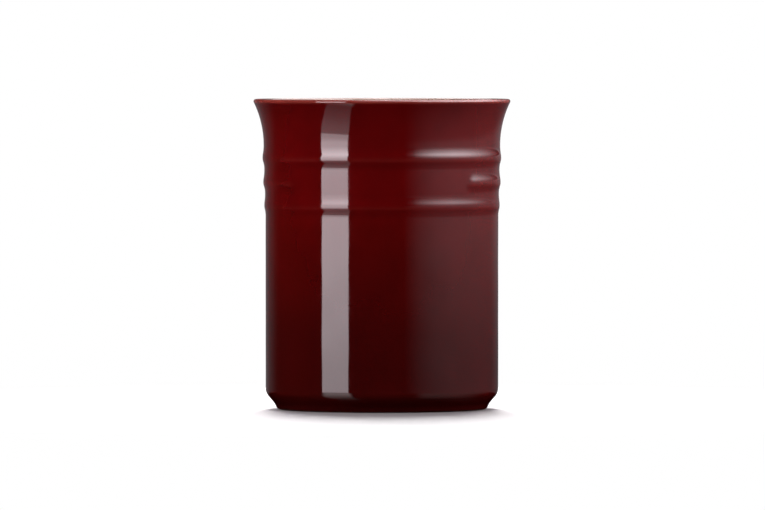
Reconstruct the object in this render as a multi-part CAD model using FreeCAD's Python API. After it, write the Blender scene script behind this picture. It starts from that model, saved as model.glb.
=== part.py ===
# Utensil crock: one pressed stoneware vessel and the three glaze coats fired onto it.
# Millimetres, +Z up. The origin is on the axis, in the plane that the foot stands on.
# The front faces -Y. Every outside size is taken over the glaze.
import FreeCAD
import Part
import math
import os

# Overall sizes; the rim and the neck stand out from the body's wall, and the foot is set in from it
overall_height = 151.0
body_diameter = 113.2
rim_flare = 5.9
neck_step = 0.95
wall_thickness = 6.0
base_thickness = 7.0
glaze_thickness = 0.4

# Lip: a crowned top between two rounded edges
lip_width = 4.8
lip_edge_radius = 1.1
lip_inner_edge_radius = 1.5
lip_crown_radius = 10.0

# Moulded rings below the rim, each a low wave whose flank is longer above its crest than below it
top_ring_drop = 28.7
upper_ring_pitch = 11.9
lower_ring_pitch = 11.2
ring_relief = 0.7
low_ring_relief = 0.52
upper_flank_share = 0.52
lower_flank_share = 0.46
crest_arc_share = 0.34

# The middle ring stops on both sides of the plain front panel, where its ends slope down into the wall
panel_half_angle = 50.0
ring_end_slope = 3.0
ring_root_depth = 1.5
ring_root_bite = 0.05

# Foot: a narrow dry ring, well rounded outside, a cove above it and a rounded shoulder up to the wall
foot_inset = 5.7
foot_ring_width = 6.5
foot_edge_radius = 2.0
foot_inner_edge_radius = 0.9
foot_recess_depth = 2.2
recess_draft = 1.0
recess_corner_radius = 2.0
glaze_line_height = 0.4
waist_inset = 4.25
waist_height = 3.0
waist_radius = 4.0
shoulder_height = 8.0
shoulder_radius = 5.5

# Inside
inner_corner_radius = 10.0

# How far cutting regions run past what they cut
overrun = 5.0

# Places worked out from the sizes above
body_radius = body_diameter / 2
rim_radius = body_radius + rim_flare
neck_radius = body_radius + neck_step
foot_radius = body_radius - foot_inset
foot_inner_radius = foot_radius - foot_ring_width
recess_radius = foot_inner_radius - recess_draft
waist_outer_radius = body_radius - waist_inset
inner_radius = body_radius - wall_thickness
floor_height = foot_recess_depth + base_thickness
top_ring_height = overall_height - top_ring_drop
middle_ring_height = top_ring_height - upper_ring_pitch
low_ring_height = middle_ring_height - lower_ring_pitch
neck_height = top_ring_height + upper_flank_share * upper_ring_pitch
band_foot_height = low_ring_height - lower_flank_share * lower_ring_pitch

axis_start = FreeCAD.Vector(0, 0, 0)
axis_direction = FreeCAD.Vector(0, 0, 1)
front_angle = -90.0


def point(radius, height):
    """A point of the half section, in the XZ plane."""
    return FreeCAD.Vector(radius, 0, height)


def line(start, end):
    """A straight edge."""
    return Part.LineSegment(start, end).toShape()


def arc(centre, start, end):
    """The shorter arc about a centre, from start to end."""
    middle = (start - centre) + (end - centre)
    middle.multiply(start.distanceToPoint(centre) / middle.Length)
    return Part.Arc(start, centre + middle, end).toShape()


def touch(centre, radius, other_centre):
    """The point of a circle that lies towards another circle's centre, where the two are tangent."""
    return centre + (other_centre - centre).normalize() * radius


def wave(start, end):
    """Two tangent arcs from start to end, upright at both; the one further out, at the crest, is the tighter."""
    step = end.x - start.x
    both_radii = (step ** 2 + (end.z - start.z) ** 2) / (2 * step)
    first_share = 1 - crest_arc_share if step > 0 else crest_arc_share
    middle = start + (end - start) * first_share
    first_centre = point(start.x + both_radii * first_share, start.z)
    last_centre = point(end.x - both_radii * (1 - first_share), end.z)
    return [arc(first_centre, start, middle), arc(last_centre, middle, end)]


def rounded_run(corners):
    """Straight edges from corner to corner; each corner is a point and the radius that rounds it."""
    edges = []
    start = corners[0][0]
    for (before, _), (corner, radius), (after, _) in zip(corners, corners[1:], corners[2:]):
        back = (before - corner).normalize()
        ahead = (after - corner).normalize()
        half_angle = back.getAngle(ahead) / 2
        trim = radius / math.tan(half_angle)
        centre = corner + (back + ahead).normalize() * (radius / math.sin(half_angle))
        edges.append(line(start, corner + back * trim))
        edges.append(arc(centre, corner + back * trim, corner + ahead * trim))
        start = corner + ahead * trim
    edges.append(line(start, corners[-1][0]))
    return edges


def polygon(*corners):
    """A face with straight sides through the given corners of the half section."""
    return Part.Face(Part.makePolygon(list(corners) + [corners[0]]))


def ground(height, relief=0):
    """A point that stands out by a relief from the wall, which widens evenly from the body to the neck."""
    climb = (height - band_foot_height) / (neck_height - band_foot_height)
    return point(body_radius + climb * (neck_radius - body_radius) + relief, height)


band_foot = ground(band_foot_height)
low_crest = ground(low_ring_height, low_ring_relief)
low_ring_top = ground(low_ring_height + upper_flank_share * lower_ring_pitch)
middle_ring_foot = ground(middle_ring_height - lower_flank_share * lower_ring_pitch)
middle_crest = ground(middle_ring_height, ring_relief)
middle_ring_top = ground(middle_ring_height + upper_flank_share * upper_ring_pitch)
top_ring_foot = ground(top_ring_height - lower_flank_share * upper_ring_pitch)
top_crest = ground(top_ring_height, ring_relief)
neck = ground(neck_height)


def lip_edges():
    """The flare from the neck, the crowned lip and the flare back down to the straight inside wall."""
    crown_centre = point(rim_radius - lip_width / 2, overall_height - lip_crown_radius)

    def edge_centre(radius, edge_radius):
        reach = radius - crown_centre.x
        rise = math.sqrt((lip_crown_radius - edge_radius) ** 2 - reach ** 2)
        return point(radius, crown_centre.z + rise)

    outer_centre = edge_centre(rim_radius - lip_edge_radius, lip_edge_radius)
    inner_centre = edge_centre(rim_radius - lip_width + lip_inner_edge_radius, lip_inner_edge_radius)

    # The outer flare is upright at the neck and touches the outer lip edge from outside.
    flare = rim_radius - neck_radius
    flare_rise = outer_centre.z - neck_height
    outer_flare_radius = (flare ** 2 + flare_rise ** 2) / (2 * flare) - lip_edge_radius
    outer_flare_centre = point(neck_radius + outer_flare_radius, neck_height)

    # The inner flare is upright at the same height and holds the inner lip edge inside its circle.
    inner_neck = point(inner_radius, neck_height)
    inner_flare = inner_centre.x - inner_radius
    inner_rise = inner_centre.z - neck_height
    inner_flare_radius = (inner_flare ** 2 + inner_rise ** 2 - lip_inner_edge_radius ** 2)
    inner_flare_radius /= 2 * (inner_flare - lip_inner_edge_radius)
    inner_flare_centre = point(inner_radius + inner_flare_radius, neck_height)

    flare_end = touch(outer_centre, lip_edge_radius, outer_flare_centre)
    crown_start = touch(crown_centre, lip_crown_radius, outer_centre)
    crown_end = touch(crown_centre, lip_crown_radius, inner_centre)
    inner_flare_end = touch(inner_flare_centre, inner_flare_radius, inner_centre)
    return [
        arc(outer_flare_centre, neck, flare_end),
        arc(outer_centre, flare_end, crown_start),
        arc(crown_centre, crown_start, crown_end),
        arc(inner_centre, crown_end, inner_flare_end),
        arc(inner_flare_centre, inner_flare_end, inner_neck),
    ]


def glazed_section():
    """Half section of the finished wall, glaze included, without the middle ring.

    It runs past the axis, so that the clay can be set back from it by the glaze and then trimmed.
    """
    past_axis_below = point(-overrun, foot_recess_depth)
    past_axis_above = point(-overrun, floor_height)
    outside = rounded_run([
        (past_axis_below, 0),
        (point(recess_radius, foot_recess_depth), recess_corner_radius),
        (point(foot_inner_radius, 0), foot_inner_edge_radius),
        (point(foot_radius, 0), foot_edge_radius),
        (point(waist_outer_radius, waist_height), waist_radius),
        (point(body_radius, shoulder_height), shoulder_radius),
        (band_foot, 0),
    ])
    rings = (wave(band_foot, low_crest) + wave(low_crest, low_ring_top) + [line(low_ring_top, top_ring_foot)]
             + wave(top_ring_foot, top_crest) + wave(top_crest, neck))
    inside = rounded_run([
        (point(inner_radius, neck_height), 0),
        (point(inner_radius, floor_height), inner_corner_radius),
        (past_axis_above, 0),
    ])
    closing = [line(past_axis_above, past_axis_below)]
    return Part.Wire(outside + rings + lip_edges() + inside + closing)


def set_back(wire, distance):
    """The face inside a closed wire, set back from it on all sides."""
    if distance == 0:
        return Part.Face(wire)
    return Part.Face(wire.makeOffset2D(-distance))


def turned(face):
    """The solid that a half section sweeps round the axis."""
    return face.Faces[0].revolve(axis_start, axis_direction, 360)


def middle_ring(glaze_depth):
    """The middle ring as a bead round the back and sides, set back by the glaze over it.

    Its roots bite into the wall, and each end is sloped by a flat cut until it is under the wall's surface.
    """
    high_root = ground(middle_ring_top.z, -ring_root_bite)
    low_root = ground(middle_ring_foot.z, -ring_root_bite)
    high_back = ground(middle_ring_top.z, -ring_root_depth)
    low_back = ground(middle_ring_foot.z, -ring_root_depth)
    section = Part.Wire(
        wave(low_root, middle_crest) + wave(middle_crest, high_root)
        + [line(high_root, high_back), line(high_back, low_back), line(low_back, low_root)])
    run_on = math.degrees(2 * ring_end_slope / middle_crest.x)
    first_angle = front_angle + panel_half_angle
    last_angle = front_angle + 360 - panel_half_angle
    start_face = set_back(section, glaze_depth)
    start_face.rotate(axis_start, axis_direction, first_angle - run_on)
    bead = start_face.revolve(axis_start, axis_direction, last_angle - first_angle + 2 * run_on)

    # Each cutting block stands on the sloped end, which starts at the crest and leans towards the front.
    slope_angle = math.degrees(math.atan2(ring_relief, ring_end_slope))
    block_height = high_root.z - low_root.z + 2 * overrun
    for end_angle, lean in ((first_angle, -slope_angle), (last_angle, slope_angle)):
        block = Part.makeBox(overrun, 4 * ring_end_slope, block_height)
        block.translate(FreeCAD.Vector(-glaze_depth, -2 * ring_end_slope, low_root.z - overrun))
        block.rotate(axis_start, axis_direction, lean)
        block.translate(FreeCAD.Vector(middle_crest.x, 0, 0))
        block.rotate(axis_start, axis_direction, end_angle)
        bead = bead.cut(block)
    return bead


def crock():
    """All four pieces, as a dictionary from name to solid."""
    section = glazed_section()
    top = overall_height + overrun
    bottom = -overrun
    beyond = rim_radius + overrun
    mid_floor = foot_recess_depth + base_thickness / 2
    mid_wall = inner_radius + wall_thickness / 2
    mid_foot = foot_radius - foot_ring_width / 2
    mid_lip = rim_radius - lip_width / 2

    # Regions of the half section that part the coats from each other
    half_plane = polygon(point(0, bottom), point(beyond, bottom), point(beyond, top), point(0, top))
    below_glaze_line = polygon(point(0, bottom), point(beyond, bottom),
                               point(beyond, glaze_line_height), point(0, glaze_line_height))
    inside_region = polygon(point(0, mid_floor), point(mid_wall, mid_floor), point(mid_wall, neck_height),
                            point(mid_lip, overall_height), point(mid_lip, top), point(0, top))
    base_region = polygon(point(0, bottom), point(mid_foot, bottom), point(mid_foot, mid_floor),
                          point(0, mid_floor))

    # The clay fills the section up to the glaze, and all of it at the dry foot
    finished = set_back(section, 0).common(half_plane)
    covered_clay = set_back(section, glaze_thickness).common(half_plane)
    dry_foot = finished.common(below_glaze_line)
    coats = finished.cut(covered_clay).cut(below_glaze_line)
    body = turned(covered_clay).fuse([turned(dry_foot), middle_ring(glaze_thickness)]).removeSplitter()
    outer_coat = turned(coats.cut(inside_region).cut(base_region))
    return {
        "stoneware_body": body,
        "outer_glaze": outer_coat.fuse(middle_ring(0)).cut(body).removeSplitter(),
        "inner_glaze": turned(coats.common(inside_region)),
        "base_glaze": turned(coats.common(base_region)),
    }


os.makedirs("parts", exist_ok=True)
for name, shape in crock().items():
    solid = shape.Solids[0]
    solid.exportStep("parts/" + name + ".step")
    print(name, len(shape.Solids), shape.isValid(), round(solid.Volume / 1000, 2), "cm3")
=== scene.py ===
"""Looks of a glazed stoneware utensil crock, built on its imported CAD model.

Sizes in the classes below are millimetres, as on a drawing. Meshes are metres in the CAD frame: +Z is up,
the foot stands on z = 0 and the plain front faces -Y. Angles round the axis are counted from the front.
"""
import logging
import math
from dataclasses import dataclass, field
from enum import Enum

import bpy
import numpy as np
from bpy.types import Collection, Material, Node, NodeSocket, NodeTree, Object
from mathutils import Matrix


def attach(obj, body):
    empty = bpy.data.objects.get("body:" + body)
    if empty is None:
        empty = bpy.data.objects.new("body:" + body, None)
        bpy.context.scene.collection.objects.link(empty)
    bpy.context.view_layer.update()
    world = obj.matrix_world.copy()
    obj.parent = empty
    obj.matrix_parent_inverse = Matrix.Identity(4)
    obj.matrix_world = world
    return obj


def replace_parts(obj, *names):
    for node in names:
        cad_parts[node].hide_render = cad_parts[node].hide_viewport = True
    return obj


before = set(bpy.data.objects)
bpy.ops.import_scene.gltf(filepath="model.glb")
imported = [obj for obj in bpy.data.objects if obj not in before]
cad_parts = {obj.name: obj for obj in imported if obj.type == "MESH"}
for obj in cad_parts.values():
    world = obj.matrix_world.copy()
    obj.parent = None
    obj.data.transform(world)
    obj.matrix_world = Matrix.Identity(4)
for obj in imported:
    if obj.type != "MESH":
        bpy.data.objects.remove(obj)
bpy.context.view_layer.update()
MM = 0.001
SAME_POINT = 1e-4  # millimetres
SHARP_EDGE = 40.0  # degrees
LOG = logging.getLogger("utensil_crock")

Array = np.ndarray
Point = tuple[float, float]
Curve = tuple[Point, ...]
Spot = tuple[float, float, float]


class Attribute(Enum):
    """Numbers that a mesh carries for its finish."""

    THIN = "glaze_thin"
    POOL = "glaze_pool"
    GLOW = "glow"


class ClaySide(Enum):
    """On which side of a path, seen along it from its start, the clay lies."""

    RIGHT = 1.0
    LEFT = -1.0


class PanelUse(Enum):
    """What a studio panel does, and the kinds of ray that don't see it.

    It lights the crock and shows in its glaze, or only shows in it, or only lights the floor.
    """

    CROCK = ("camera", "shadow")
    SHINE = ("camera", "shadow", "diffuse")
    FLOOR = ("camera", "shadow", "glossy")


def linear_rgba(hex_colour: str) -> tuple[float, ...]:
    """Turns an sRGB colour, six hex digits after a hash, into linear red, green and blue, with an alpha of one."""
    channels = np.array([int(hex_colour[i:i + 2], 16) for i in (1, 3, 5)]) / 255
    return (*np.where(channels <= 0.04045, channels / 12.92, ((channels + 0.055) / 1.055) ** 2.4).tolist(), 1.0)


def add_node(tree: NodeTree, kind: str, inputs: dict | None = None, **settings: object) -> Node:
    """Adds one node to a tree, with its settings, values and links.

    Args:
        tree: the tree that gets the node.
        kind: Blender's name for the kind of node, after the ShaderNode that all of them start with.
        inputs: socket name or number to a value, an output socket, or a node, for its first output in use.
        settings: properties of the node itself.

    Returns:
        The new node.
    """
    node = tree.nodes.new("ShaderNode" + kind)
    for name, value in settings.items():
        setattr(node, name, value)
    for socket, value in (inputs or {}).items():
        if isinstance(value, Node):
            value = next(output for output in value.outputs if output.enabled)
        if isinstance(value, NodeSocket):
            tree.links.new(value, node.inputs[socket])
        else:
            node.inputs[socket].default_value = value
    return node


def new_material(name: str) -> tuple[Material, NodeTree]:
    """Makes an empty node material.

    Args:
        name: the material's name.

    Returns:
        The material and its node tree, with nothing in it.
    """
    material = bpy.data.materials.new(name)
    material.use_nodes = True
    material.node_tree.nodes.clear()
    return material, material.node_tree


def smooth_step(share: Array) -> Array:
    """Eases a share from 0 to 1: three times its square less twice its cube, held at both ends."""
    held = np.clip(share, 0.0, 1.0)
    return held * held * (3 - 2 * held)


@dataclass(frozen=True)
class CrockSizes:
    """Sizes of the crock over its glaze, the same as those of the CAD model."""

    overall_height: float = 151.0
    body_radius: float = 56.6
    rim_radius: float = 62.5
    neck_radius: float = 57.55
    wall_thickness: float = 6.0
    floor_height: float = 9.2
    glaze_thickness: float = 0.4
    lip_width: float = 4.8
    lip_edge_radius: float = 1.1
    lip_inner_edge_radius: float = 1.5
    lip_crown_radius: float = 10.0
    top_ring_height: float = 122.3
    upper_ring_pitch: float = 11.9
    lower_ring_pitch: float = 11.2
    ring_relief: float = 0.7
    low_ring_relief: float = 0.52
    upper_flank_share: float = 0.52
    lower_flank_share: float = 0.46
    crest_arc_share: float = 0.34
    panel_half_angle: float = 50.0
    ring_end_slope: float = 3.0
    foot_radius: float = 50.9
    foot_ring_width: float = 6.5
    foot_edge_radius: float = 2.0
    foot_inner_edge_radius: float = 0.9
    foot_recess_depth: float = 2.2
    recess_draft: float = 1.0
    recess_corner_radius: float = 2.0
    glaze_line_height: float = 0.4
    waist_radius: float = 52.35
    waist_height: float = 3.0
    waist_round: float = 4.0
    shoulder_height: float = 8.0
    shoulder_round: float = 5.5
    inner_corner_radius: float = 10.0

    @property
    def inner_radius(self) -> float:
        """Radius of the straight inside wall."""
        return self.body_radius - self.wall_thickness

    @property
    def middle_ring_height(self) -> float:
        """Height of the middle ring's crest."""
        return self.top_ring_height - self.upper_ring_pitch

    @property
    def low_ring_height(self) -> float:
        """Height of the lowest ring's crest."""
        return self.middle_ring_height - self.lower_ring_pitch

    @property
    def neck_height(self) -> float:
        """Height at which the flare starts."""
        return self.top_ring_height + self.upper_flank_share * self.upper_ring_pitch

    @property
    def band_foot_height(self) -> float:
        """Height at which the rings end and the straight body starts."""
        return self.low_ring_height - self.lower_flank_share * self.lower_ring_pitch

    def ground(self, height: float, relief: float = 0.0) -> Point:
        """Gives the point that stands a relief out from the wall of the rings, which widens evenly to the neck."""
        climb = (height - self.band_foot_height) / (self.neck_height - self.band_foot_height)
        return self.body_radius + climb * (self.neck_radius - self.body_radius) + relief, height

    def ring(self, height: float, relief: float, above: float, below: float) -> tuple[Point, Point, Point]:
        """Gives the top, crest and foot of the ring at a height, from the pitches above and below it."""
        top, foot = height + self.upper_flank_share * above, height - self.lower_flank_share * below
        return self.ground(top), self.ground(height, relief), self.ground(foot)


@dataclass
class Path:
    """A run of points in the half section, each a radius and a height, drawn on from the point it is at.

    The spacing of the points is the path's own step where none is given.
    """

    at: Point
    step: float = 0.3
    least_on_line: int = 2
    least_on_arc: int = 5
    points: list[Array] = field(default_factory=list)

    def line(self, end: Point, step: float | None = None) -> "Path":
        """Adds a straight run: the point the path is at plus a share of the way to the end.

        Args:
            end: the run's last point.
            step: the spacing of its points.

        Returns:
            The path.
        """
        count = max(self.least_on_line, round(math.dist(self.at, end) / (step or self.step)))
        self.points.append(self.at + np.linspace(0.0, 1.0, count)[:, None] * np.subtract(end, self.at))
        self.at = end
        return self

    def arc(self, centre: Point, end: Point, step: float | None = None) -> "Path":
        """Adds the shorter arc about a centre: the centre plus a radius turned evenly up to the end.

        Args:
            centre: the arc's centre.
            end: its last point.
            step: the spacing of its points.

        Returns:
            The path.
        """
        radius = math.dist(centre, self.at)
        first, last = (math.atan2(spot[1] - centre[1], spot[0] - centre[0]) for spot in (self.at, end))
        turn = (last - first + math.pi) % math.tau - math.pi
        count = max(self.least_on_arc, round(radius * abs(turn) / (step or self.step)))
        angle = first + turn * np.linspace(0.0, 1.0, count)
        self.points.append(centre + radius * np.stack([np.cos(angle), np.sin(angle)], axis=1))
        self.at = end
        return self

    def wave(self, end: Point, crest_share: float) -> "Path":
        """Adds two tangent arcs that are upright at their outer ends and turn by the same angle.

        Args:
            end: the last point.
            crest_share: the share of the arc at the end that lies further out in the two radii together.

        Returns:
            The path.
        """
        start = self.at
        out, up = end[0] - start[0], end[1] - start[1]
        both_radii = (out * out + up * up) / (2 * out)
        share = 1 - crest_share if out > 0 else crest_share
        self.arc((start[0] + both_radii * share, start[1]), (start[0] + share * out, start[1] + share * up))
        return self.arc((end[0] - both_radii * (1 - share), end[1]), end)

    def rounded(self, corners: list[tuple[Point, float]], step: float | None = None) -> "Path":
        """Adds straight runs from corner to corner, each corner rounded by an arc that touches both runs.

        Args:
            corners: points and the radii that round them; the last radius isn't used.
            step: the spacing on the straight runs.

        Returns:
            The path.
        """
        spots = [np.array(spot) for spot in (self.at, *(spot for spot, _ in corners))]
        for before, corner, (_, radius), after in zip(spots, spots[1:], corners, spots[2:]):
            back, ahead = ((spot - corner) / np.hypot(*(spot - corner)) for spot in (before, after))
            half_angle = math.acos(float(back @ ahead)) / 2
            trim = radius / math.tan(half_angle)
            middle = (back + ahead) / np.hypot(*(back + ahead))
            self.line(corner + back * trim, step)
            self.arc(corner + middle * radius / math.sin(half_angle), corner + ahead * trim)
        return self.line(spots[-1], step)

    def joined(self) -> Array:
        """Gives all points in one array, without those that repeat the point before them."""
        run = np.concatenate(self.points)
        return run[np.append(True, np.hypot(*np.diff(run, axis=0).T) > SAME_POINT)]


def run_lengths(run: Array) -> Array:
    """Gives the length along a run of points up to each of them: the sum of the steps before it."""
    return np.append(0.0, np.cumsum(np.hypot(*np.diff(run, axis=0).T)))


def set_back(run: Array, distance: float, clay: ClaySide) -> Array:
    """Moves each point of a run by a distance along the run's normal there, to the side of the clay."""
    along = np.gradient(run, axis=0)
    return run + clay.value * distance * np.stack([along[:, 1], -along[:, 0]], axis=1) / np.hypot(*along.T)[:, None]


def bends(run: Array, blur: float) -> Array:
    """Measures how sharply a run bends, one over the radius, positive to the right and negative to the left.

    Args:
        run: the points.
        blur: the length over which the bend is averaged with a bell-shaped weight.

    Returns:
        The bend at each point, per millimetre.
    """
    length = run_lengths(run)
    heading = np.unwrap(np.arctan2(*np.gradient(run, axis=0).T[::-1]))
    bend = -np.gradient(heading, length)
    weight = np.exp(-(((length[:, None] - length[None, :]) / blur) ** 2)) * np.gradient(length)
    return weight @ bend / weight.sum(axis=1)


@dataclass(frozen=True)
class Ripple:
    """The slow unevenness of a fired surface, a sum of waves with random phases.

    Each is the cosine of a whole number of turns round the axis times the cosine of the height over a
    wavelength. A wave with more turns is shallower. The margin is the length over which all of it eases in.
    """

    seed: int
    count: int
    depth: float
    margin: float
    turns: tuple[int, int] = (3, 22)
    lengths: Point = (26.0, 90.0)
    depth_shares: Point = (0.4, 1.0)

    def heights(self, angle: Array, height: Array) -> Array:
        """Works the waves out on a grid.

        Args:
            angle: angles round the axis, in radians, one per row.
            height: heights in millimetres, one per column.

        Returns:
            The height of the unevenness for each row and column.
        """
        draw = np.random.default_rng(self.seed)
        turns = draw.integers(*self.turns, self.count)
        lengths = draw.uniform(*self.lengths, self.count)
        fewest = self.turns[0]
        depths = self.depth * draw.uniform(*self.depth_shares, self.count) * 2 * fewest / (fewest + turns)
        phases = draw.uniform(0.0, math.tau, (2, self.count))
        around = np.cos(turns * angle[:, None] + phases[0])
        along = np.cos(math.tau * height[:, None] / lengths + phases[1])
        return (around * depths) @ along.T


def round_axis(radius: Array, angle: Array, height: Array) -> Array:
    """Lays points round the axis, in metres: radius r, angle a and height h give (r sin a, -r cos a, h)."""
    ways = np.broadcast_arrays(radius * np.sin(angle), -radius * np.cos(angle), height)
    return np.stack(ways, axis=-1).reshape(-1, 3) * MM


def ring_faces(rows: int, columns: int, closes_across: bool) -> Array:
    """Numbers the four corners of each face of a grid that closes on itself round the axis.

    Args:
        rows: points round the axis.
        columns: points along the section.
        closes_across: whether the last column joins the first.

    Returns:
        One face of four corner numbers per row of the array.
    """
    row = np.arange(rows)[:, None]
    column = np.arange(columns if closes_across else columns - 1)[None, :]
    after, beside = (row + 1) % rows, (column + 1) % columns
    corners = [row * columns + column, after * columns + column, after * columns + beside, row * columns + beside]
    return np.stack(np.broadcast_arrays(*corners), axis=-1).reshape(-1, 4)


def new_object(name: str, vertices: Array, faces: list[Array], numbers: dict[Attribute, Array],
               material: Material) -> Object:
    """Puts computed points and faces into a smooth-shaded object at the origin.

    Args:
        name: the object's name.
        vertices: points in metres, one per row.
        faces: arrays of corner numbers, one face per row.
        numbers: what the finish reads, one value per vertex.
        material: the finish.

    Returns:
        The object, linked to the scene.
    """
    mesh = bpy.data.meshes.new(name)
    mesh.from_pydata(vertices.tolist(), [], sum((rows.tolist() for rows in faces), []))
    for attribute, values in numbers.items():
        layer = mesh.attributes.new(attribute.value, "FLOAT", "POINT")
        layer.data.foreach_set("value", values.astype(np.float32).ravel())
    mesh.polygons.foreach_set("use_smooth", np.ones(len(mesh.polygons), dtype=bool))
    mesh.set_sharp_from_angle(angle=math.radians(SHARP_EDGE))
    mesh.materials.append(material)
    mesh.validate()
    made = bpy.data.objects.new(name, mesh)
    bpy.context.scene.collection.objects.link(made)
    return made


@dataclass(frozen=True)
class Flecks:
    """Small round spots of another tone, scattered through a finish."""

    tone: str
    spacing: float
    size: float
    strength: float

    def over(self, tree: NodeTree, place: NodeSocket, colour: Node) -> Node:
        """Lays the spots over a colour; each fades out with the distance from its own random centre.

        Args:
            tree: the finish's nodes.
            place: the point of the piece.
            colour: what lies under the spots.

        Returns:
            The spotted colour.
        """
        cells = add_node(tree, "TexVoronoi", {"Vector": place, "Scale": 1 / (self.spacing * MM)})
        share = add_node(tree, "MapRange", {
            "Value": cells, "From Min": 0.0, "From Max": self.size / self.spacing,
            "To Min": self.strength, "To Max": 0.0}, interpolation_type="SMOOTHSTEP")
        return add_node(tree, "Mix", {0: share, 6: colour, 7: linear_rgba(self.tone)}, data_type="RGBA")


@dataclass(frozen=True)
class OrangePeel:
    """The faint unevenness of a glassy skin: soft noise of a size and a depth."""

    size: float
    depth: float
    detail: float = 1.0

    def normal(self, tree: NodeTree, place: NodeSocket) -> Node:
        """Gives the normal of the uneven skin at a point of the piece."""
        noise = add_node(tree, "TexNoise", {"Vector": place, "Scale": 1 / (self.size * MM), "Detail": self.detail})
        return add_node(tree, "Bump", {"Height": noise, "Distance": self.depth * MM})


@dataclass(frozen=True)
class GarnetGlaze:
    """Coloured lead-free stoneware glaze, sprayed over the clay and fired to a glassy coat.

    It gives the eye a deep wine red that darkens evenly towards the foot, partly where the spray lies thicker and
    partly as painted shade on the lower body and the foot. It breaks to a lighter rust where the melt runs thin
    over edges. Its skin mirrors the studio almost sharply.
    """

    name: str = "fired_garnet_glaze"
    # Tone by height, darker towards the foot: partly thicker spray, partly painted shade on the lower body and
    # foot.
    height_tones_and_shade: tuple[tuple[float, str], ...] = (
        (0, "#240202"), (4, "#2c0303"), (7, "#300303"), (12, "#300202"), (20, "#300202"), (39, "#330202"),
        (58, "#3a0202"), (77, "#410202"), (90, "#450202"), (101, "#4c0203"), (129, "#4a0203"), (151, "#490203"))
    thin_tone: str = "#7a2f28"
    pool_tone: str = "#200102"
    ior: float = 1.5
    cloud_size: float = 17.0
    cloud_detail: float = 3.0
    cloud_range: Point = (0.3, 0.7)
    cloud_lift: Point = (0.9, 1.1)
    thin_spread: Point = (0.9, 1.06)
    roughness: Point = (0.035, 0.075)
    flecks: Flecks = Flecks("#1a0203", spacing=7.0, size=0.16, strength=0.55)
    peel: OrangePeel = OrangePeel(size=4.5, depth=0.0035)

    def material(self) -> Material:
        """Builds the node material: tone by height, clouds, thin and pooled places, flecks, orange peel.

        Returns:
            The material.
        """
        made, tree = new_material(self.name)
        place = add_node(tree, "TexCoord").outputs["Object"]
        height = add_node(tree, "SeparateXYZ", {0: place}).outputs["Z"]
        # The ramp darkens towards the foot: partly the glaze's own tone, partly painted shade.
        top = self.height_tones_and_shade[-1][0]
        share = add_node(tree, "Math", {0: height, 1: 1 / (top * MM)}, operation="MULTIPLY")
        ramp = add_node(tree, "ValToRGB", {0: share})
        stops = ramp.color_ramp.elements
        for level, _ in self.height_tones_and_shade[1:-1]:
            stops.new(level / top)
        for stop, (_, tone) in zip(stops, self.height_tones_and_shade):
            stop.color = linear_rgba(tone)

        # Clouds of slightly thicker and thinner spray change the tone, the thin edges and the gloss.
        # The inputs of a map range are the value, then the ends of the range it comes from and of its new range.
        clouds = add_node(tree, "TexNoise", {
            "Vector": place, "Scale": 1 / (self.cloud_size * MM), "Detail": self.cloud_detail})
        lift, spread, gloss = (
            add_node(tree, "MapRange", dict(enumerate((clouds, *self.cloud_range, low, high))))
            for low, high in (self.cloud_lift, self.thin_spread, self.roughness))
        colour = add_node(tree, "VectorMath", {0: ramp, "Scale": lift}, operation="SCALE")

        # Places where the melt pooled in a hollow, or ran thin over an edge.
        pool, thin = (add_node(tree, "Attribute", attribute_name=kind.value).outputs["Fac"]
                      for kind in (Attribute.POOL, Attribute.THIN))
        thin_share = add_node(tree, "Math", {0: thin, 1: spread}, operation="MULTIPLY", use_clamp=True)
        for share, tone in ((pool, self.pool_tone), (thin_share, self.thin_tone)):
            colour = add_node(tree, "Mix", {0: share, 6: colour, 7: linear_rgba(tone)}, data_type="RGBA")

        # Sparse iron flecks under a glassy skin with faint orange peel.
        shader = add_node(tree, "BsdfPrincipled", {
            "Base Color": self.flecks.over(tree, place, colour), "Roughness": gloss, "IOR": self.ior,
            "Normal": self.peel.normal(tree, place)})
        add_node(tree, "OutputMaterial", {0: shader})
        return made


@dataclass(frozen=True)
class CreamGlaze:
    """Cream liner glaze, poured into the crock, drained and fired with the rest.

    It gives the eye a warm off-white with faint tan flecks, a little darker where it ran thin at the lip.
    """

    name: str = "fired_cream_liner_glaze"
    tone: str = "#dbcfba"
    cloud_tone: str = "#cfc1a8"
    thin_tone: str = "#8f7066"
    ior: float = 1.5
    roughness: float = 0.09
    cloud_size: float = 22.0
    cloud_detail: float = 3.0
    cloud_range: Point = (0.35, 0.65)
    flecks: Flecks = Flecks("#a88a64", spacing=5.0, size=0.3, strength=0.5)
    peel: OrangePeel = OrangePeel(size=5.0, depth=0.004)

    def material(self) -> Material:
        """Builds the node material: clouds, thin lip, flecks and a soft orange peel.

        Returns:
            The material.
        """
        made, tree = new_material(self.name)
        place = add_node(tree, "TexCoord").outputs["Object"]
        clouds = add_node(tree, "TexNoise", {
            "Vector": place, "Scale": 1 / (self.cloud_size * MM), "Detail": self.cloud_detail})
        cloud_share = add_node(tree, "MapRange", dict(enumerate((clouds, *self.cloud_range))))
        thin = add_node(tree, "Attribute", attribute_name=Attribute.THIN.value).outputs["Fac"]
        colour = linear_rgba(self.tone)
        for share, tone in ((cloud_share, self.cloud_tone), (thin, self.thin_tone)):
            colour = add_node(tree, "Mix", {0: share, 6: colour, 7: linear_rgba(tone)}, data_type="RGBA")
        shader = add_node(tree, "BsdfPrincipled", {
            "Base Color": self.flecks.over(tree, place, colour), "Roughness": self.roughness, "IOR": self.ior,
            "Normal": self.peel.normal(tree, place)})
        add_node(tree, "OutputMaterial", {0: shader})
        return made


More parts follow.
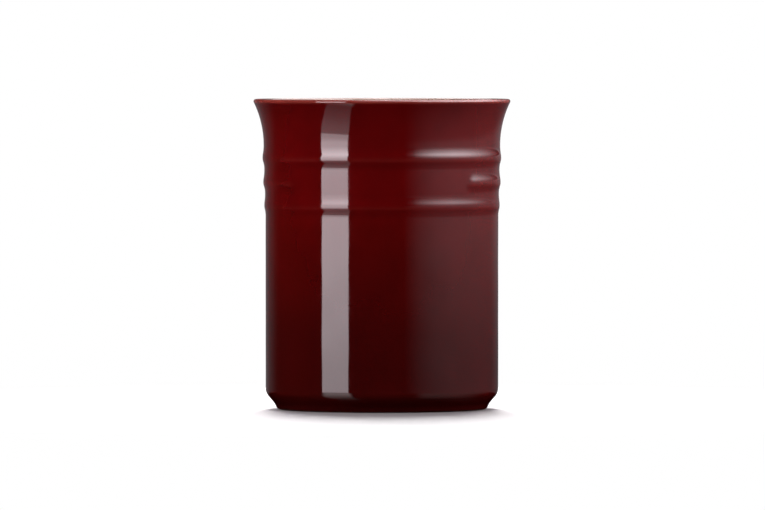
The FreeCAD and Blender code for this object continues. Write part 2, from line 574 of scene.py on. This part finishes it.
@dataclass(frozen=True)
class DryStoneware:
    """Buff stoneware clay, pressed, fired and left bare on the foot, where it was ground flat.

    It gives the eye a dull sandy ring with fine grog and small iron spots, near black along its outer edge: partly
    the stain that the iron in the melt beside it leaves on the clay, partly painted shade where the foot
    meets the floor.
    """

    name: str = "fired_buff_stoneware"
    tone: str = "#c8b090"
    sand_tone: str = "#a98e6c"
    stain_and_shade_tone: str = "#1d0a07"
    ior: float = 1.5
    roughness: float = 0.82
    sand_size: float = 0.7
    sand_detail: float = 4.0
    sand_roughness: float = 0.65
    sand_range: Point = (0.35, 0.7)
    iron_spots: Flecks = Flecks("#5d4330", spacing=3.2, size=0.3, strength=0.8)
    grit_depth: float = 0.05
    grit_strength: float = 0.8
    stain_and_shade_edge: Point = (49.2, 50.3)

    def material(self) -> Material:
        """Builds the node material: sandy grain, iron spots, the edge of stain and painted shade, the grog's bump.

        Returns:
            The material.
        """
        made, tree = new_material(self.name)
        place = add_node(tree, "TexCoord").outputs["Object"]
        sand = add_node(tree, "TexNoise", {
            "Vector": place, "Scale": 1 / (self.sand_size * MM), "Detail": self.sand_detail,
            "Roughness": self.sand_roughness})
        sand_share = add_node(tree, "MapRange", dict(enumerate((sand, *self.sand_range))))
        sandy = add_node(tree, "Mix", {
            0: sand_share, 6: linear_rgba(self.tone), 7: linear_rgba(self.sand_tone)}, data_type="RGBA")
        # The outer edge turns near black: partly iron stain, partly painted shade where the foot meets the floor.
        flat = add_node(tree, "VectorMath", {0: place, 1: (1.0, 1.0, 0.0)}, operation="MULTIPLY")
        reach = add_node(tree, "VectorMath", {0: flat}, operation="LENGTH")
        stain_and_shade = add_node(tree, "MapRange", {
            "Value": reach, "From Min": self.stain_and_shade_edge[0] * MM, "From Max": self.stain_and_shade_edge[1] * MM},
            interpolation_type="SMOOTHSTEP")
        colour = add_node(tree, "Mix", {
            0: stain_and_shade, 6: self.iron_spots.over(tree, place, sandy), 7: linear_rgba(self.stain_and_shade_tone)},
            data_type="RGBA")
        grit = add_node(tree, "Bump", {
            "Height": sand, "Distance": self.grit_depth * MM, "Strength": self.grit_strength})
        shader = add_node(tree, "BsdfPrincipled", {
            "Base Color": colour, "Roughness": self.roughness, "IOR": self.ior, "Normal": grit})
        add_node(tree, "OutputMaterial", {0: shader})
        return made


@dataclass
class LipSection:
    """The crowned lip between its two rounded edges, and the flares that lead to it."""

    sizes: CrockSizes

    def __post_init__(self) -> None:
        """Finds the centres of the lip's arcs and the points where they touch each other."""
        size = self.sizes
        self.crown = (size.rim_radius - size.lip_width / 2, size.overall_height - size.lip_crown_radius)
        self.seam = (self.crown[0], size.overall_height)
        self.outer = self.edge_centre(size.rim_radius - size.lip_edge_radius, size.lip_edge_radius)
        self.inner = self.edge_centre(size.rim_radius - size.lip_width + size.lip_inner_edge_radius,
                                      size.lip_inner_edge_radius)
        flare = size.rim_radius - size.neck_radius
        rise = self.outer[1] - size.neck_height
        outer_flare = (flare ** 2 + rise ** 2) / (2 * flare) - size.lip_edge_radius
        self.outer_flare = (size.neck_radius + outer_flare, size.neck_height)
        reach = self.inner[0] - size.inner_radius
        climb = self.inner[1] - size.neck_height
        edge = size.lip_inner_edge_radius
        inner_flare = (reach ** 2 + climb ** 2 - edge ** 2) / (2 * (reach - edge))
        self.inner_flare = (size.inner_radius + inner_flare, size.neck_height)
        self.crown_start = self.towards(self.crown, size.lip_crown_radius, self.outer)
        self.crown_end = self.towards(self.crown, size.lip_crown_radius, self.inner)
        self.flare_end = self.towards(self.outer, size.lip_edge_radius, self.outer_flare)
        self.inner_flare_end = self.towards(self.inner_flare, inner_flare, self.inner)

    def edge_centre(self, radius: float, edge_radius: float) -> Point:
        """Finds the centre, at a radius, of an edge circle that touches the crown's circle from inside."""
        rise = math.sqrt((self.sizes.lip_crown_radius - edge_radius) ** 2 - (radius - self.crown[0]) ** 2)
        return radius, self.crown[1] + rise

    @staticmethod
    def towards(centre: Point, radius: float, other: Point) -> Point:
        """Gives the point of a circle on the line from its centre to another point."""
        share = radius / math.dist(centre, other)
        return centre[0] + (other[0] - centre[0]) * share, centre[1] + (other[1] - centre[1]) * share


@dataclass
class GlazeCoat:
    """One coat of glaze: a shell that follows a run of the section round the axis and closes on itself.

    The steps are the spacings of the run's points on the lip's crown and edges, the flares and the walls.
    """

    sizes: CrockSizes
    turns: int = 192
    hidden_skip: int = 4
    crown_step: float = 0.2
    edge_step: float = 0.1
    flare_step: float = 0.5
    wall_step: float = 1.5

    def angles(self) -> Array:
        """Gives the angles of the grid's rows, in radians from the front."""
        return np.arange(self.turns) * math.tau / self.turns

    def loft(self, name: str, skin: Array, run: Array, clay: ClaySide,
             numbers: dict[Attribute, Array], material: Material) -> Object:
        """Carries a section round the axis.

        The visible side has its own radius at each angle, and the hidden side is the run set back into the
        clay. A run that ends on the axis ends in one point there on each side.

        Args:
            name: the piece's name.
            skin: radii of the visible side, a column per point of the run and a row per angle, or one for all.
            run: the section before anything uneven is added.
            clay: the side of the run on which the clay lies.
            numbers: what the finish reads on the visible side, laid out as skin is.
            material: the finish.

        Returns:
            The piece, riding on the crock.
        """
        meets_axis = int(run[-1, 0] < SAME_POINT)
        under = set_back(run, self.sizes.glaze_thickness, clay)
        shown = np.arange(len(run) - meets_axis)
        hidden = np.unique(np.append(np.arange(0, len(run), self.hidden_skip), len(run) - 1))[::-1][meets_axis:]
        spots, grid = np.concatenate([shown, hidden]), (self.turns, len(run))
        radius = np.concatenate([np.broadcast_to(skin, grid)[:, shown],
                                 np.broadcast_to(under[:, 0], grid)[:, hidden]], axis=1)
        vertices = round_axis(radius, self.angles()[:, None], np.append(run[shown, 1], under[hidden, 1]))
        values = {key: np.broadcast_to(number, grid)[:, spots] for key, number in numbers.items()}
        columns = len(spots)
        quads = ring_faces(self.turns, columns, True)
        faces = [quads]
        if meets_axis:
            # The quads that would cross the axis give way to a fan of triangles on each side.
            last = len(shown) - 1
            row = np.arange(self.turns)
            after = (row + 1) % self.turns
            top = np.full(self.turns, len(vertices))
            faces = [quads[np.arange(len(quads)) % columns != last],
                     np.stack([row * columns + last, after * columns + last, top], axis=1),
                     np.stack([after * columns + last + 1, row * columns + last + 1, top + 1], axis=1)]
            poles = np.array([[0.0, 0.0, run[-1, 1]], [0.0, 0.0, under[-1, 1]]])
            vertices = np.concatenate([vertices, poles * MM])
            values = {key: np.append(value, [0.0, 0.0]) for key, value in values.items()}
        if clay is ClaySide.RIGHT:
            faces = [rows[:, ::-1] for rows in faces]
        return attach(new_object(name, vertices, faces, values, material), "root")


@dataclass
class OuterCoat(GlazeCoat):
    """The garnet coat on the outside, from the seam on the lip to the glaze line above the foot."""

    wall_step: float = 1.4
    ring_step: float = 0.1
    ring_end_ease: float = 1.2
    thin_at_lip: float = 0.8
    lip_reach: float = 4.4
    lip_fade: float = 1.6
    thin_at_rings: float = 1.1
    least_bend: float = 0.06
    thin_at_foot: float = 0.15
    foot_reach: float = 20.0
    pool_share: float = 1.3
    deepest_pool: float = 0.5
    bend_blur: float = 0.7
    ripple: Ripple = Ripple(seed=7, count=30, depth=0.018, margin=6.0)

    def run(self) -> Array:
        """Draws the outside section from the lip's seam over the plain panel down to the glaze line.

        Returns:
            Radii and heights.
        """
        size, lip = self.sizes, LipSection(self.sizes)
        neck, top_crest, top_foot = size.ring(size.top_ring_height, size.ring_relief, size.upper_ring_pitch,
                                              size.upper_ring_pitch)
        low_top, low_crest, band_foot = size.ring(size.low_ring_height, size.low_ring_relief, size.lower_ring_pitch,
                                                  size.lower_ring_pitch)
        path = Path(lip.seam).arc(lip.crown, lip.crown_start, self.crown_step)
        path.arc(lip.outer, lip.flare_end, self.edge_step).arc(lip.outer_flare, neck, self.flare_step)
        share = size.crest_arc_share
        path.wave(top_crest, share).wave(top_foot, share).line(low_top)
        path.wave(low_crest, share).wave(band_foot, share)
        run = path.rounded([
            ((size.body_radius, size.shoulder_height), size.shoulder_round),
            ((size.waist_radius, size.waist_height), size.waist_round),
            ((size.foot_radius, 0.0), size.foot_edge_radius),
            ((size.foot_radius - size.foot_ring_width / 2, 0.0), 0.0)], self.wall_step).joined()
        return run[run[:, 1] >= size.glaze_line_height]

    def ring_bump(self, height: Array) -> Array:
        """Works out how far the middle ring stands out from the plain panel at each height.

        Args:
            height: heights in millimetres.

        Returns:
            The radius of the ring's two waves less that of the wall, and zero above and below the ring.
        """
        size = self.sizes
        top, crest, foot = size.ring(size.middle_ring_height, size.ring_relief, size.upper_ring_pitch,
                                     size.lower_ring_pitch)
        share = size.crest_arc_share
        wave = Path(top, self.ring_step).wave(crest, share).wave(foot, share).joined()[::-1]
        bump = np.interp(height, wave[:, 1], wave[:, 0]) - np.interp(height, [foot[1], top[1]], [foot[0], top[0]])
        return np.where((height > foot[1]) & (height < top[1]), bump, 0.0)

    def ring_share(self) -> Array:
        """Works out how much of the middle ring there is at each angle.

        Returns:
            A share per angle: none on the front panel, eased up at its two ends, and one elsewhere.
        """
        size = self.sizes
        from_front = np.degrees(np.abs((self.angles() + math.pi) % math.tau - math.pi))
        slope = math.degrees(size.ring_end_slope / size.neck_radius) * self.ring_end_ease
        return smooth_step((from_front - size.panel_half_angle + slope) / slope)

    def build(self, glaze: GarnetGlaze) -> Object:
        """Makes the coat and puts it in the CAD coat's place.

        Args:
            glaze: its finish.

        Returns:
            The piece.
        """
        size, ripple = self.sizes, self.ripple
        plain = self.run()
        height = plain[:, 1]
        ringed = plain + np.outer(self.ring_bump(height), (1.0, 0.0))
        ring_share = self.ring_share()[:, None]
        margin = smooth_step((size.overall_height - ripple.margin - height) / ripple.margin)
        margin *= smooth_step((height - size.glaze_line_height) / ripple.margin)
        uneven = margin * ripple.heights(self.angles(), height)
        skin = plain[:, 0] + ring_share * (ringed[:, 0] - plain[:, 0]) + uneven
        bend = bends(plain, self.bend_blur)
        bend = bend + ring_share * (bends(ringed, self.bend_blur) - bend)
        thin = self.thin_at_lip * smooth_step((self.lip_reach - run_lengths(plain)) / self.lip_fade)
        rings = np.clip((bend - self.least_bend) * self.thin_at_rings, 0, 1) * (height < size.neck_height)
        rings *= np.where(height < self.foot_reach, self.thin_at_foot, 1.0)
        pool = np.clip(-bend * self.pool_share, 0, self.deepest_pool)
        piece = self.loft("garnet_outer_coat", skin, plain, ClaySide.RIGHT,
                          {Attribute.THIN: thin + rings, Attribute.POOL: pool}, glaze.material())
        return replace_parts(piece, "outer_glaze")


@dataclass
class InnerCoat(GlazeCoat):
    """The cream coat on the inside, from the seam on the lip down to the middle of the floor."""

    edge_step: float = 0.12
    flare_step: float = 1.0
    thin_reach: float = 3.2
    ripple: Ripple = Ripple(seed=11, count=24, depth=0.02, margin=8.0)

    def run(self) -> Array:
        """Draws the inside section from the lip's seam to the axis.

        Returns:
            Radii and heights.
        """
        size, lip = self.sizes, LipSection(self.sizes)
        path = Path(lip.seam).arc(lip.crown, lip.crown_end, self.crown_step)
        path.arc(lip.inner, lip.inner_flare_end, self.edge_step)
        path.arc(lip.inner_flare, (size.inner_radius, size.neck_height), self.flare_step)
        return path.rounded([
            ((size.inner_radius, size.floor_height), size.inner_corner_radius),
            ((0.0, size.floor_height), 0.0)], self.wall_step).joined()

    def build(self, glaze: CreamGlaze) -> Object:
        """Makes the coat and puts it in the CAD coat's place.

        Args:
            glaze: its finish.

        Returns:
            The piece.
        """
        run, ripple = self.run(), self.ripple
        margin = smooth_step((run_lengths(run) - ripple.margin) / ripple.margin)
        margin *= smooth_step((run[:, 0] - ripple.margin) / ripple.margin)
        skin = run[:, 0] + margin * ripple.heights(self.angles(), run[:, 1])
        thin = np.exp(-((run_lengths(run) / self.thin_reach) ** 2))
        piece = self.loft("cream_inner_coat", skin, run, ClaySide.LEFT, {Attribute.THIN: thin}, glaze.material())
        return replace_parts(piece, "inner_glaze")


@dataclass
class BaseCoat(GlazeCoat):
    """The garnet coat in the recess under the base, inside the dry foot ring."""

    def run(self) -> Array:
        """Draws the recess from the glaze line on the foot ring's inner side to the axis.

        Returns:
            Radii and heights.
        """
        size = self.sizes
        inner = size.foot_radius - size.foot_ring_width
        run = Path((inner + size.foot_ring_width / 2, 0.0)).rounded([
            ((inner, 0.0), size.foot_inner_edge_radius),
            ((inner - size.recess_draft, size.foot_recess_depth), size.recess_corner_radius),
            ((0.0, size.foot_recess_depth), 0.0)], self.wall_step).joined()
        return run[run[:, 1] >= size.glaze_line_height]

    def build(self, material: Material) -> Object:
        """Makes the coat in the same glaze as the outside and puts it in the CAD coat's place.

        Args:
            material: the outside's finish.

        Returns:
            The piece.
        """
        run = self.run()
        none = np.zeros(len(run))
        piece = self.loft("garnet_base_coat", run[:, 0], run, ClaySide.RIGHT,
                          {Attribute.THIN: none, Attribute.POOL: none}, material)
        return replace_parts(piece, "base_glaze")


@dataclass
class ClayVessel:
    """The fired clay itself, which shows only on the dry foot ring."""

    node: str = "stoneware_body"

    def dress(self, clay: DryStoneware) -> Object:
        """Gives the CAD solid its finish.

        Args:
            clay: the finish.

        Returns:
            The CAD node's object.
        """
        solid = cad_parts[self.node]
        solid.data.materials.clear()
        solid.data.materials.append(clay.material())
        return solid


def hide(piece: Object, kinds: tuple[str, ...]) -> None:
    """Hides a studio piece from some kinds of ray."""
    for kind in kinds:
        setattr(piece, "visible_" + kind, False)


def fade_out(tree: NodeTree, surface: Node, start: float, end: float) -> None:
    """Ends a studio finish with a surface that turns clear, eased, between two distances from the origin.

    Args:
        tree: the finish's nodes.
        surface: what shows near the origin.
        start: the distance at which it starts to fade.
        end: the distance at which it is gone.
    """
    place = add_node(tree, "TexCoord").outputs["Object"]
    reach = add_node(tree, "VectorMath", {0: place}, operation="LENGTH")
    faded = add_node(tree, "MapRange", {"Value": reach, "From Min": start * MM, "From Max": end * MM},
                     interpolation_type="SMOOTHSTEP")
    clear = add_node(tree, "BsdfTransparent")
    shader = add_node(tree, "MixShader", {0: faded, 1: surface, 2: clear})
    add_node(tree, "OutputMaterial", {0: shader})


@dataclass(frozen=True)
class LightPanel:
    """A glowing panel on a cylinder round the crock, which the camera doesn't see.

    Its light at an angle and a height is the product of two curves, each drawn through a few points.
    """

    name: str
    angle_curve: Curve
    height_curve: Curve
    use: PanelUse = PanelUse.CROCK
    radius: float = 950.0
    angle_step: float = 2.5
    height_step: float = 25.0

    @staticmethod
    def places(curve: Curve, step: float) -> Array:
        """Gives even places from a curve's first point to its last, about a step apart."""
        first, last = curve[0][0], curve[-1][0]
        return np.linspace(first, last, 2 + round((last - first) / step))

    def build(self, material: Material, lit: Collection) -> Object:
        """Makes the panel.

        Args:
            material: the glowing finish.
            lit: what the panel lights.

        Returns:
            The panel.
        """
        angle = self.places(self.angle_curve, self.angle_step)
        height = self.places(self.height_curve, self.height_step)
        glow = np.outer(np.interp(angle, *zip(*self.angle_curve)), np.interp(height, *zip(*self.height_curve)))
        columns = len(height)
        start = (np.arange(len(angle) - 1)[:, None] * columns + np.arange(columns - 1)).ravel()
        faces = np.stack([start, start + 1, start + columns + 1, start + columns], axis=1)
        panel = new_object(self.name, round_axis(np.array(self.radius), np.radians(angle)[:, None], height),
                           [faces], {Attribute.GLOW: glow}, material)
        hide(panel, self.use.value)
        panel.light_linking.receiver_collection = lit
        return panel


@dataclass(frozen=True)
class Sheen:
    """One patch of light on the table: its two edges in degrees and its strength, by distance from the axis."""

    edges: tuple[Spot, ...]
    rise: Curve
    softness: Point

    def glow(self, angle: Array, radius: Array) -> Array:
        """Works out the patch's light on a grid.

        Args:
            angle: degrees from the front, to the right, one per row.
            radius: distances from the axis in millimetres, one per column.

        Returns:
            One value of light per angle and radius: the strength, eased down to nothing across both edges.
        """
        reach, left, right = zip(*self.edges)
        after_left = (angle - np.interp(radius, reach, left)) / self.softness[0]
        before_right = (np.interp(radius, reach, right) - angle) / self.softness[1]
        inside = smooth_step(after_left + 0.5) * smooth_step(before_right + 0.5)
        return inside * np.interp(radius, *zip(*self.rise))


@dataclass(frozen=True)
class TableSheen:
    """What the foot mirrors of the table: a disc, dark near the foot, with the light of the two softboxes on it.

    Only the glaze sees it: a painted reflection, dark where the table would lie in shade near the foot and lit
    where the softboxes' light would fall on it. It lies a little below the floor, as an image in a glossy table
    top does, and its inner ring rises to the floor, where a dark sheet of painted shade hides the light from the
    foot.
    """

    turns: int = 360
    step: float = 1.0
    depth: float = 20.0
    inner_radius: float = 48.0
    ring_radius: float = 55.0
    fade_radius: float = 165.0
    outer_radius: float = 225.0
    patches: tuple[Sheen, ...] = (
        Sheen(((61, -32.5, -16), (71, -41.4, -20.6), (91, -46, -23), (150, -50.7, -26.6)),
              ((57, 0), (59, 0.02), (61, 0.1), (71, 0.36), (91, 1.2), (115, 1.7), (150, 2.25), (200, 3.2)), (5, 4)),
        Sheen(((66, 27.5, 66), (95, 29, 72), (158, 32, 98)),
              ((59, 0), (66, 0.05), (75, 0.15), (95, 0.24), (118, 0.28), (158, 0.3)), (12, 56)))

    def material(self) -> Material:
        """Makes its finish: the mesh's own light, fading out towards the disc's edge.

        Returns:
            The material.
        """
        made, tree = new_material("table_sheen")
        strength = add_node(tree, "Attribute", attribute_name=Attribute.GLOW.value).outputs["Fac"]
        light = add_node(tree, "Emission", {"Strength": strength})
        fade_out(tree, light, self.fade_radius, self.outer_radius)
        return made

    def build(self, lit: Collection) -> Object:
        """Makes the disc.

        Args:
            lit: what mirrors it.

        Returns:
            The disc.
        """
        angle = np.arange(self.turns)[:, None] * 360.0 / self.turns - 180.0
        radius = np.arange(self.inner_radius, self.outer_radius, self.step)[None, :]
        # The disc is a painted reflection: dark for the table's shade, with patches of the softboxes' light.
        level = np.where(radius > self.ring_radius, -self.depth, 0.0)
        glow = sum(patch.glow(angle, radius) for patch in self.patches)
        disc = new_object("table_sheen", round_axis(radius, np.radians(angle), level),
                          [ring_faces(self.turns, radius.size, False)], {Attribute.GLOW: glow}, self.material())
        hide(disc, ("camera", "diffuse", "transmission", "shadow"))
        disc.light_linking.receiver_collection = lit
        return disc


@dataclass(frozen=True)
class Softbox:
    """A lamp that neither the camera nor the glaze sees: its sides, place and turn."""

    name: str
    sides: Point
    place: Spot
    turn: Spot = (0.0, 0.0, 0.0)

    def hang(self, watts: float, lit: Collection) -> Object:
        """Hangs the lamp.

        Args:
            watts: its power.
            lit: what it lights.

        Returns:
            The lamp.
        """
        lamp = bpy.data.lights.new(self.name, "AREA")
        lamp.shape = "RECTANGLE"
        lamp.size, lamp.size_y = (side * MM for side in self.sides)
        lamp.energy = watts
        hung = bpy.data.objects.new(self.name, lamp)
        hung.location = tuple(way * MM for way in self.place)
        hung.rotation_euler = self.turn
        hide(hung, ("camera", "glossy"))
        hung.light_linking.receiver_collection = lit
        bpy.context.scene.collection.objects.link(hung)
        return hung


@dataclass
class Studio:
    """A white sweep, softboxes and reflector cards round the crock.

    The long top softbox hangs above and behind the crock, so that its shadow falls towards the camera.
    """

    floor_radius: float = 1500.0
    floor_hole: float = 0.001
    floor_turns: int = 64
    floor_rings: int = 24
    floor_fade: Point = (200.0, 330.0)
    floor_tone: str = "#e9e9e9"
    surroundings_tone: str = "#ffffff"
    ambient: float = 0.012
    panel_tone: str = "#fff5fb"
    panel_gain: float = 1.1
    top_light: Softbox = Softbox("top_softbox", (600.0, 2150.0), (0.0, 1325.0, 1860.0))
    top_light_on_crock: float = 56.0
    top_light_on_floor: float = 84.0
    side_light_sides: Point = (600.0, 600.0)
    side_light_reach: float = 1200.0
    side_light_lift: float = 35.0
    side_lights: Curve = ((-88.0, 9.1), (58.0, 5.5), (98.0, 8.0))
    panels: tuple[LightPanel, ...] = (
        LightPanel("strip_box", ((-60, 1), (-32.3, 1)),
                   ((-82, 4.3), (-18, 4.5), (29, 5.9), (69, 6.95), (112, 6.8), (150, 7.2), (200, 8.2),
                    (300, 10.2), (467, 12.8), (490, 12.8))),
        LightPanel("table_glow", ((-60, 1), (-32.3, 1)),
                   ((-1100, 0.3), (-700, 0.42), (-470, 0.63), (-100, 1.4), (-82, 1.6))),
        LightPanel("soft_card", ((20, 0), (29, 0.22), (37, 0.49), (45.5, 0.72), (54, 0.9), (72, 1), (93, 0.85),
                                 (105, 0.7), (120, 0.48), (134, 0.3), (145, 0.33), (180, 0.26)),
                   ((-1000, 0.04), (-750, 0.075), (-470, 0.15), (-320, 0.19), (-138, 0.25), (-18, 0.29),
                    (22, 0.37), (45, 0.48), (69, 0.58), (140, 0.68), (160, 1.2))),
        LightPanel("soft_box", ((22, 0), (29, 0.03), (37, 0.21), (45.5, 0.38), (54, 0.54), (72, 0.77), (86, 0.75),
                                (93, 0.68), (105, 0.47), (120, 0.25), (134, 0.1), (150, 0.03), (180, 0.02)),
                   ((160, 1.2), (170, 1.5), (200, 2.8), (240, 4.8), (266, 6.2), (333, 10), (400, 17), (440, 21),
                    (480, 22))),
        LightPanel("back_card", ((-180, 0.15), (-158, 0.14), (-145, 0.09), (-135, 0.065), (-128, 0.03),
                                 (-121.5, 0.01)),
                   ((-1000, 0.3), (-200, 0.8), (0, 1), (300, 1))),
        LightPanel("lip_box", ((-25, 0.2), (0, 0.27), (20, 0.6), (40, 1), (110, 1), (130, 0.4), (150, 0.13),
                               (168, 0.18), (180, 1.05), (188, 0.25), (210, 0.08)),
                   ((290, 6), (350, 8), (1200, 8)), PanelUse.SHINE, 350.0, 4.0, 60.0),
        LightPanel("backdrop", ((155, 1), (205, 1)), ((15, 21), (1815, 21)), PanelUse.FLOOR, 2700.0, 10.0, 360.0),
        LightPanel("room_glow", ((-180, 1), (180, 1)), ((15, 1), (1815, 1)), PanelUse.FLOOR, 2750.0, 15.0, 360.0),
    )

    def glow_material(self) -> Material:
        """Makes the finish of the panels: light as strong as the mesh's own numbers say, a trace to the rose.

        Returns:
            The material.
        """
        made, tree = new_material("studio_glow")
        glow = add_node(tree, "Attribute", attribute_name=Attribute.GLOW.value).outputs["Fac"]
        strength = add_node(tree, "Math", {0: glow, 1: self.panel_gain}, operation="MULTIPLY")
        light = add_node(tree, "Emission", {"Color": linear_rgba(self.panel_tone), "Strength": strength})
        add_node(tree, "OutputMaterial", {0: light})
        return made

    def build_floor(self) -> Object:
        """Lays the floor, a disc of matt white paper that fades out into the white around it.

        Only the camera sees it, so that the glaze doesn't mirror it.

        Returns:
            The floor.
        """
        made, tree = new_material("white_paper_sweep")
        paper = add_node(tree, "BsdfDiffuse", {"Color": linear_rgba(self.floor_tone)})
        fade_out(tree, paper, *self.floor_fade)
        angle = np.arange(self.floor_turns)[:, None] * math.tau / self.floor_turns
        radius = np.linspace(self.floor_hole, 1.0, self.floor_rings) ** 2 * self.floor_radius
        floor = new_object("floor", round_axis(radius, angle, np.zeros(1)),
                           [ring_faces(self.floor_turns, self.floor_rings, False)], {}, made)
        hide(floor, ("diffuse", "glossy", "transmission", "shadow"))
        return floor

    def build_world(self) -> None:
        """Makes the surroundings white to the camera and almost dark to the glaze."""
        world = bpy.data.worlds.new("white_surroundings")
        bpy.context.scene.world = world
        world.use_nodes = True
        tree = world.node_tree
        tree.nodes.clear()
        seen = add_node(tree, "LightPath").outputs["Is Camera Ray"]
        strength = add_node(tree, "MapRange", {"Value": seen, "To Min": self.ambient, "To Max": 1.0})
        light = add_node(tree, "Background", {"Color": linear_rgba(self.surroundings_tone), "Strength": strength})
        add_node(tree, "OutputWorld", {0: light})

    def side_light(self, angle: float) -> Softbox:
        """Designs a large softbox at one side, lifted and turned to the crock.

        Args:
            angle: degrees from the front, to the right.

        Returns:
            The softbox.
        """
        turn, lift = math.radians(angle), math.radians(self.side_light_lift)
        out = self.side_light_reach * math.cos(lift)
        place = (out * math.sin(turn), -out * math.cos(turn), self.side_light_reach * math.sin(lift))
        return Softbox("side_softbox", self.side_light_sides, place, (math.pi / 2 - lift, 0.0, turn))

    def build(self, outside: list[Object], inside: list[Object]) -> None:
        """Sets up the whole studio.

        Args:
            outside: the pieces that all lamps and panels light.
            inside: the pieces that the side lights are screened from.
        """
        lit, lit_outside, ground = (bpy.data.collections.new(name)
                                    for name in ("lit_crock", "lit_outside", "lit_floor"))
        for group, pieces in ((lit, outside + inside), (lit_outside, outside), (ground, [self.build_floor()])):
            for piece in pieces:
                group.objects.link(piece)
        glow = self.glow_material()
        for panel in self.panels:
            panel.build(glow, ground if panel.use is PanelUse.FLOOR else lit)
        TableSheen().build(lit)
        for angle, watts in self.side_lights:
            self.side_light(angle).hang(watts, lit_outside)
        self.top_light.hang(self.top_light_on_crock, lit)
        self.top_light.hang(self.top_light_on_floor, ground)
        self.build_world()


@dataclass(frozen=True)
class PhotoCamera:
    """The long lens that looks at the crock almost level, from a little above its rim."""

    place: Spot = (0.0, -4850.0, 187.0)
    target: Spot = (0.28, 0.0, 75.0)
    pixels_per_mm: float = 2.0546
    image_width: int = 765
    sensor_width: float = 36.0
    clip_metres: Point = (0.01, 100.0)

    def build(self) -> Object:
        """Makes the camera: its focal length puts the photo's number of pixels on a millimetre at the crock.

        Returns:
            The camera.
        """
        lens = bpy.data.cameras.new("photo_camera")
        distance = math.dist(self.place, self.target)
        lens.sensor_width = self.sensor_width
        lens.lens = self.pixels_per_mm * distance * self.sensor_width / self.image_width
        lens.clip_start, lens.clip_end = self.clip_metres
        camera = bpy.data.objects.new("photo_camera", lens)
        bpy.context.scene.collection.objects.link(camera)
        camera.location = tuple(way * MM for way in self.place)
        across, ahead, up = (end - start for start, end in zip(self.place, self.target))
        tilt = math.atan2(up, math.hypot(across, ahead))
        camera.rotation_euler = (math.pi / 2 + tilt, 0.0, -math.atan2(across, ahead))
        bpy.context.scene.camera = camera
        return camera


def main() -> None:
    """Builds the crock's pieces in order, then the studio and the camera."""
    logging.basicConfig(level=logging.INFO, format="%(name)s: %(message)s")
    sizes = CrockSizes()
    outer = OuterCoat(sizes).build(GarnetGlaze())
    inner = InnerCoat(sizes).build(CreamGlaze())
    base = BaseCoat(sizes).build(outer.data.materials[0])
    clay = ClayVessel().dress(DryStoneware())
    for piece in (clay, outer, inner, base):
        LOG.info("%s: %d faces", piece.name, len(piece.data.polygons))
    Studio().build([clay, outer, base], [inner])
    PhotoCamera().build()
    bpy.context.scene.view_settings.view_transform = "Standard"


if __name__ == "__main__":
    main()
